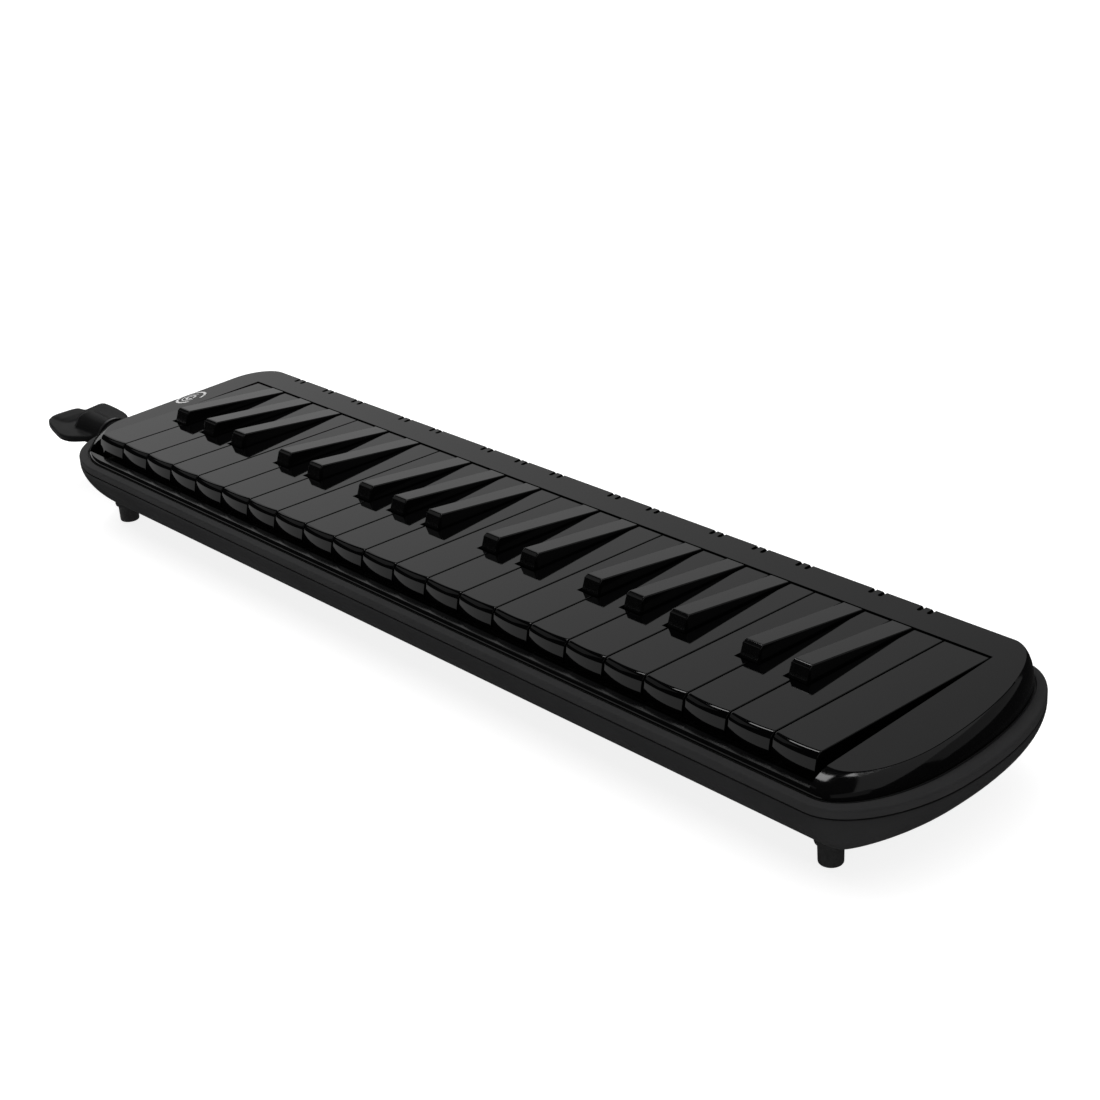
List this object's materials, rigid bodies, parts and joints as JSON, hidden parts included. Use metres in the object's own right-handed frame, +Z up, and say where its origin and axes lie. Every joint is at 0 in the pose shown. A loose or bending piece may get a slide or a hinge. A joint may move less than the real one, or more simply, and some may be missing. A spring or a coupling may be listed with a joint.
{
  "type": "melodica",
  "caption": "Glossy black free-reed wind keyboard: hinged keys over a reed chamber, two-part case on rubber feet, winged mouthpiece on the left end.",
  "frame": {"origin": "centre of the underside of the bounding box, on the surface the feet stand on", "axes": "+X along the keyboard towards the high notes, +Y from the key fronts to the back edge, +Z up"},
  "size_m": [0.4794, 0.1088, 0.0457],
  "materials": {
    "case_black": "gloss",
    "white_key": "gloss",
    "black_key": "gloss",
    "frame_plastic": "matt",
    "chamber_plastic": "matt",
    "gasket_rubber": "matt",
    "brass_plate": "brushed",
    "reed_bronze": "polished",
    "zinc_screw": "satin",
    "axle_steel": "satin",
    "spring_bronze": "satin",
    "felt": "matt",
    "mouthpiece_plastic": "satin",
    "socket_plastic": "satin",
    "seal_rubber": "matt",
    "black_screw": "black oxide",
    "foot_rubber": "matt",
    "badge_metal": "polished",
    "pad_rubber": "matt"
  },
  "bodies": {
    "case": {"upper_case": "case_black", "lower_case": "case_black", "key_frame": "frame_plastic", "air_chamber": "chamber_plastic", "chamber_gasket": "gasket_rubber", "reed_plate_low": "brass_plate", "reed_plate_high": "brass_plate", "reeds": "reed_bronze", "reed_screws": "zinc_screw", "key_axle": "axle_steel", "spring_comb": "spring_bronze", "key_bed_felt": "felt", "frame_screws": "zinc_screw", "mouthpiece": "mouthpiece_plastic", "mouthpiece_socket": "socket_plastic", "socket_seal": "seal_rubber", "air_duct": "frame_plastic", "release_spring": "axle_steel", "case_screws": "black_screw", "rubber_feet": "foot_rubber", "badge": "badge_metal"},
    "key_f3_body": {"key_f3": "white_key"},
    "key_fs3_body": {"key_fs3": "black_key"},
    "key_g3_body": {"key_g3": "white_key"},
    "key_gs3_body": {"key_gs3": "black_key"},
    "key_a3_body": {"key_a3": "white_key"},
    "key_as3_body": {"key_as3": "black_key"},
    "key_b3_body": {"key_b3": "white_key"},
    "key_c4_body": {"key_c4": "white_key"},
    "key_cs4_body": {"key_cs4": "black_key"},
    "key_d4_body": {"key_d4": "white_key"},
    "key_ds4_body": {"key_ds4": "black_key"},
    "key_e4_body": {"key_e4": "white_key"},
    "key_f4_body": {"key_f4": "white_key"},
    "key_fs4_body": {"key_fs4": "black_key"},
    "key_g4_body": {"key_g4": "white_key"},
    "key_gs4_body": {"key_gs4": "black_key"},
    "key_a4_body": {"key_a4": "white_key"},
    "key_as4_body": {"key_as4": "black_key"},
    "key_b4_body": {"key_b4": "white_key"},
    "key_c5_body": {"key_c5": "white_key"},
    "key_cs5_body": {"key_cs5": "black_key"},
    "key_d5_body": {"key_d5": "white_key"},
    "key_ds5_body": {"key_ds5": "black_key"},
    "key_e5_body": {"key_e5": "white_key"},
    "key_f5_body": {"key_f5": "white_key"},
    "key_fs5_body": {"key_fs5": "black_key"},
    "key_g5_body": {"key_g5": "white_key"},
    "key_gs5_body": {"key_gs5": "black_key"},
    "key_a5_body": {"key_a5": "white_key"},
    "key_as5_body": {"key_as5": "black_key"},
    "key_b5_body": {"key_b5": "white_key"},
    "key_c6_body": {"key_c6": "white_key"},
    "key_cs6_body": {"key_cs6": "black_key"},
    "key_d6_body": {"key_d6": "white_key"},
    "key_ds6_body": {"key_ds6": "black_key"},
    "key_e6_body": {"key_e6": "white_key"},
    "key_f6_body": {"key_f6": "white_key"},
    "release": {"release_button": "socket_plastic", "release_pad": "pad_rubber"}
  },
  "joints": [
    {"name": "key_f3_press", "type": "hinge", "parent": "case", "child": "key_f3_body", "pos_m": [-0.16899, 0.02788, 0.033], "axis": [1, 0, 0], "range_deg": [0, 3.4], "stiffness_Nm_per_rad": 0.25, "springref_deg": -11.46, "deforming": ["spring_comb"]},
    {"name": "key_fs3_press", "type": "hinge", "parent": "case", "child": "key_fs3_body", "pos_m": [-0.15915, 0.02788, 0.033], "axis": [1, 0, 0], "range_deg": [0, 3.4], "stiffness_Nm_per_rad": 0.25, "springref_deg": -11.46},
    {"name": "key_g3_press", "type": "hinge", "parent": "case", "child": "key_g3_body", "pos_m": [-0.1492, 0.02788, 0.033], "axis": [1, 0, 0], "range_deg": [0, 3.4], "stiffness_Nm_per_rad": 0.25, "springref_deg": -11.46},
    {"name": "key_gs3_press", "type": "hinge", "parent": "case", "child": "key_gs3_body", "pos_m": [-0.13925, 0.02788, 0.033], "axis": [1, 0, 0], "range_deg": [0, 3.4], "stiffness_Nm_per_rad": 0.25, "springref_deg": -11.46},
    {"name": "key_a3_press", "type": "hinge", "parent": "case", "child": "key_a3_body", "pos_m": [-0.1293, 0.02788, 0.033], "axis": [1, 0, 0], "range_deg": [0, 3.4], "stiffness_Nm_per_rad": 0.25, "springref_deg": -11.46},
    {"name": "key_as3_press", "type": "hinge", "parent": "case", "child": "key_as3_body", "pos_m": [-0.11935, 0.02788, 0.033], "axis": [1, 0, 0], "range_deg": [0, 3.4], "stiffness_Nm_per_rad": 0.25, "springref_deg": -11.46},
    {"name": "key_b3_press", "type": "hinge", "parent": "case", "child": "key_b3_body", "pos_m": [-0.10951, 0.02788, 0.033], "axis": [1, 0, 0], "range_deg": [0, 3.4], "stiffness_Nm_per_rad": 0.25, "springref_deg": -11.46},
    {"name": "key_c4_press", "type": "hinge", "parent": "case", "child": "key_c4_body", "pos_m": [-0.09839, 0.02788, 0.033], "axis": [1, 0, 0], "range_deg": [0, 3.4], "stiffness_Nm_per_rad": 0.25, "springref_deg": -11.46},
    {"name": "key_cs4_press", "type": "hinge", "parent": "case", "child": "key_cs4_body", "pos_m": [-0.08795, 0.02788, 0.033], "axis": [1, 0, 0], "range_deg": [0, 3.4], "stiffness_Nm_per_rad": 0.25, "springref_deg": -11.46},
    {"name": "key_d4_press", "type": "hinge", "parent": "case", "child": "key_d4_body", "pos_m": [-0.078, 0.02788, 0.033], "axis": [1, 0, 0], "range_deg": [0, 3.4], "stiffness_Nm_per_rad": 0.25, "springref_deg": -11.46},
    {"name": "key_ds4_press", "type": "hinge", "parent": "case", "child": "key_ds4_body", "pos_m": [-0.06805, 0.02788, 0.033], "axis": [1, 0, 0], "range_deg": [0, 3.4], "stiffness_Nm_per_rad": 0.25, "springref_deg": -11.46},
    {"name": "key_e4_press", "type": "hinge", "parent": "case", "child": "key_e4_body", "pos_m": [-0.05761, 0.02788, 0.033], "axis": [1, 0, 0], "range_deg": [0, 3.4], "stiffness_Nm_per_rad": 0.25, "springref_deg": -11.46},
    {"name": "key_f4_press", "type": "hinge", "parent": "case", "child": "key_f4_body", "pos_m": [-0.04649, 0.02788, 0.033], "axis": [1, 0, 0], "range_deg": [0, 3.4], "stiffness_Nm_per_rad": 0.25, "springref_deg": -11.46},
    {"name": "key_fs4_press", "type": "hinge", "parent": "case", "child": "key_fs4_body", "pos_m": [-0.03665, 0.02788, 0.033], "axis": [1, 0, 0], "range_deg": [0, 3.4], "stiffness_Nm_per_rad": 0.25, "springref_deg": -11.46},
    {"name": "key_g4_press", "type": "hinge", "parent": "case", "child": "key_g4_body", "pos_m": [-0.0267, 0.02788, 0.033], "axis": [1, 0, 0], "range_deg": [0, 3.4], "stiffness_Nm_per_rad": 0.25, "springref_deg": -11.46},
    {"name": "key_gs4_press", "type": "hinge", "parent": "case", "child": "key_gs4_body", "pos_m": [-0.01675, 0.02788, 0.033], "axis": [1, 0, 0], "range_deg": [0, 3.4], "stiffness_Nm_per_rad": 0.25, "springref_deg": -11.46},
    {"name": "key_a4_press", "type": "hinge", "parent": "case", "child": "key_a4_body", "pos_m": [-0.0068, 0.02788, 0.033], "axis": [1, 0, 0], "range_deg": [0, 3.4], "stiffness_Nm_per_rad": 0.25, "springref_deg": -11.46},
    {"name": "key_as4_press", "type": "hinge", "parent": "case", "child": "key_as4_body", "pos_m": [0.00315, 0.02788, 0.033], "axis": [1, 0, 0], "range_deg": [0, 3.4], "stiffness_Nm_per_rad": 0.25, "springref_deg": -11.46},
    {"name": "key_b4_press", "type": "hinge", "parent": "case", "child": "key_b4_body", "pos_m": [0.01299, 0.02788, 0.033], "axis": [1, 0, 0], "range_deg": [0, 3.4], "stiffness_Nm_per_rad": 0.25, "springref_deg": -11.46},
    {"name": "key_c5_press", "type": "hinge", "parent": "case", "child": "key_c5_body", "pos_m": [0.02411, 0.02788, 0.033], "axis": [1, 0, 0], "range_deg": [0, 3.4], "stiffness_Nm_per_rad": 0.25, "springref_deg": -11.46},
    {"name": "key_cs5_press", "type": "hinge", "parent": "case", "child": "key_cs5_body", "pos_m": [0.03455, 0.02788, 0.033], "axis": [1, 0, 0], "range_deg": [0, 3.4], "stiffness_Nm_per_rad": 0.25, "springref_deg": -11.46},
    {"name": "key_d5_press", "type": "hinge", "parent": "case", "child": "key_d5_body", "pos_m": [0.0445, 0.02788, 0.033], "axis": [1, 0, 0], "range_deg": [0, 3.4], "stiffness_Nm_per_rad": 0.25, "springref_deg": -11.46},
    {"name": "key_ds5_press", "type": "hinge", "parent": "case", "child": "key_ds5_body", "pos_m": [0.05445, 0.02788, 0.033], "axis": [1, 0, 0], "range_deg": [0, 3.4], "stiffness_Nm_per_rad": 0.25, "springref_deg": -11.46},
    {"name": "key_e5_press", "type": "hinge", "parent": "case", "child": "key_e5_body", "pos_m": [0.06489, 0.02788, 0.033], "axis": [1, 0, 0], "range_deg": [0, 3.4], "stiffness_Nm_per_rad": 0.25, "springref_deg": -11.46},
    {"name": "key_f5_press", "type": "hinge", "parent": "case", "child": "key_f5_body", "pos_m": [0.07601, 0.02788, 0.033], "axis": [1, 0, 0], "range_deg": [0, 3.4], "stiffness_Nm_per_rad": 0.25, "springref_deg": -11.46},
    {"name": "key_fs5_press", "type": "hinge", "parent": "case", "child": "key_fs5_body", "pos_m": [0.08585, 0.02788, 0.033], "axis": [1, 0, 0], "range_deg": [0, 3.4], "stiffness_Nm_per_rad": 0.25, "springref_deg": -11.46},
    {"name": "key_g5_press", "type": "hinge", "parent": "case", "child": "key_g5_body", "pos_m": [0.0958, 0.02788, 0.033], "axis": [1, 0, 0], "range_deg": [0, 3.4], "stiffness_Nm_per_rad": 0.25, "springref_deg": -11.46},
    {"name": "key_gs5_press", "type": "hinge", "parent": "case", "child": "key_gs5_body", "pos_m": [0.10575, 0.02788, 0.033], "axis": [1, 0, 0], "range_deg": [0, 3.4], "stiffness_Nm_per_rad": 0.25, "springref_deg": -11.46},
    {"name": "key_a5_press", "type": "hinge", "parent": "case", "child": "key_a5_body", "pos_m": [0.1157, 0.02788, 0.033], "axis": [1, 0, 0], "range_deg": [0, 3.4], "stiffness_Nm_per_rad": 0.25, "springref_deg": -11.46},
    {"name": "key_as5_press", "type": "hinge", "parent": "case", "child": "key_as5_body", "pos_m": [0.12565, 0.02788, 0.033], "axis": [1, 0, 0], "range_deg": [0, 3.4], "stiffness_Nm_per_rad": 0.25, "springref_deg": -11.46},
    {"name": "key_b5_press", "type": "hinge", "parent": "case", "child": "key_b5_body", "pos_m": [0.13549, 0.02788, 0.033], "axis": [1, 0, 0], "range_deg": [0, 3.4], "stiffness_Nm_per_rad": 0.25, "springref_deg": -11.46},
    {"name": "key_c6_press", "type": "hinge", "parent": "case", "child": "key_c6_body", "pos_m": [0.14661, 0.02788, 0.033], "axis": [1, 0, 0], "range_deg": [0, 3.4], "stiffness_Nm_per_rad": 0.25, "springref_deg": -11.46},
    {"name": "key_cs6_press", "type": "hinge", "parent": "case", "child": "key_cs6_body", "pos_m": [0.15705, 0.02788, 0.033], "axis": [1, 0, 0], "range_deg": [0, 3.4], "stiffness_Nm_per_rad": 0.25, "springref_deg": -11.46},
    {"name": "key_d6_press", "type": "hinge", "parent": "case", "child": "key_d6_body", "pos_m": [0.167, 0.02788, 0.033], "axis": [1, 0, 0], "range_deg": [0, 3.4], "stiffness_Nm_per_rad": 0.25, "springref_deg": -11.46},
    {"name": "key_ds6_press", "type": "hinge", "parent": "case", "child": "key_ds6_body", "pos_m": [0.17695, 0.02788, 0.033], "axis": [1, 0, 0], "range_deg": [0, 3.4], "stiffness_Nm_per_rad": 0.25, "springref_deg": -11.46},
    {"name": "key_e6_press", "type": "hinge", "parent": "case", "child": "key_e6_body", "pos_m": [0.18739, 0.02788, 0.033], "axis": [1, 0, 0], "range_deg": [0, 3.4], "stiffness_Nm_per_rad": 0.25, "springref_deg": -11.46},
    {"name": "key_f6_press", "type": "hinge", "parent": "case", "child": "key_f6_body", "pos_m": [0.202, 0.02788, 0.033], "axis": [1, 0, 0], "range_deg": [0, 3.4], "stiffness_Nm_per_rad": 0.25, "springref_deg": -11.46},
    {"name": "release_push", "type": "slide", "parent": "case", "child": "release", "axis": [0, -1, 0], "range_m": [0, 0.0014], "stiffness_N_per_m": 600, "springref_m": -0.0015, "deforming": ["release_spring"]}
  ]
}
